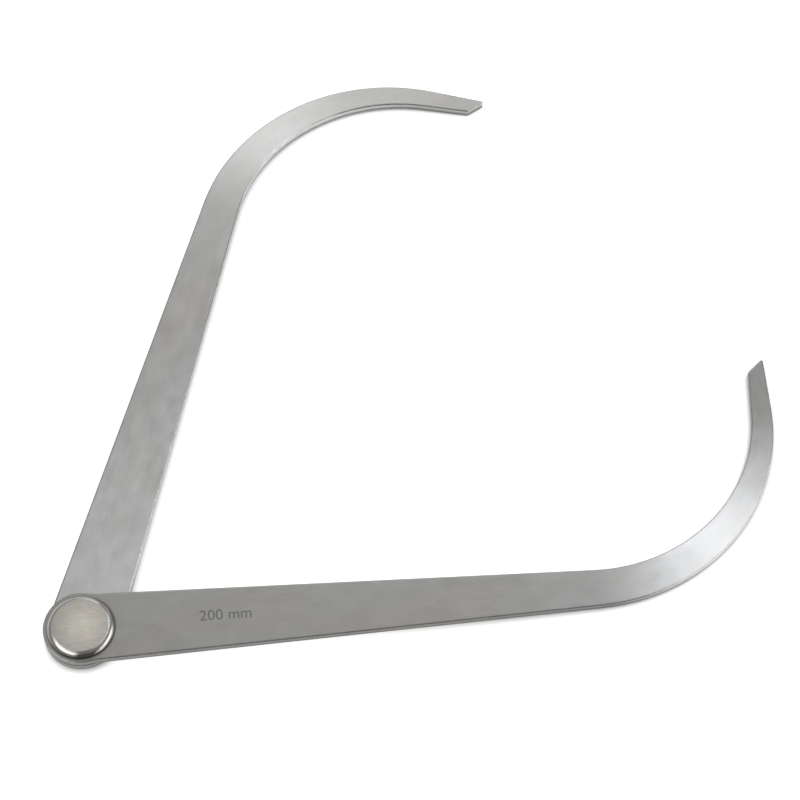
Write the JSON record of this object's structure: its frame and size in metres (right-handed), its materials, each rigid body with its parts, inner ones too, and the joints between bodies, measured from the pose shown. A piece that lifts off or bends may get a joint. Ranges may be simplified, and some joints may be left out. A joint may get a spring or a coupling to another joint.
{
  "type": "outside caliper",
  "caption": "Flat steel outside caliper with a firm riveted joint: bowed legs lie face to face and are clamped between polished discs.",
  "frame": {"origin": "on the rivet's axis at the flat face of the back disc", "axes": "+Z along the rivet from the back disc to the front disc, +Y along the middle of the opening towards the tips, +X towards the upper leg"},
  "size_m": [0.187, 0.2019, 0.0076],
  "materials": {
    "leg_steel": "satin, ground along the leg",
    "disc_steel": "ground face, polished rim",
    "pin_steel": "ground flush"
  },
  "bodies": {
    "lower": {"lower_leg": "leg_steel", "back_disc": "disc_steel", "front_disc": "disc_steel", "joint_pin": "pin_steel"},
    "upper": {"upper_leg": "leg_steel"}
  },
  "joints": [
    {"name": "firm_joint", "type": "hinge", "parent": "lower", "child": "upper", "pos_m": [0, 0, 0.0038], "axis": [0, 0, 1], "continuous": true}
  ]
}
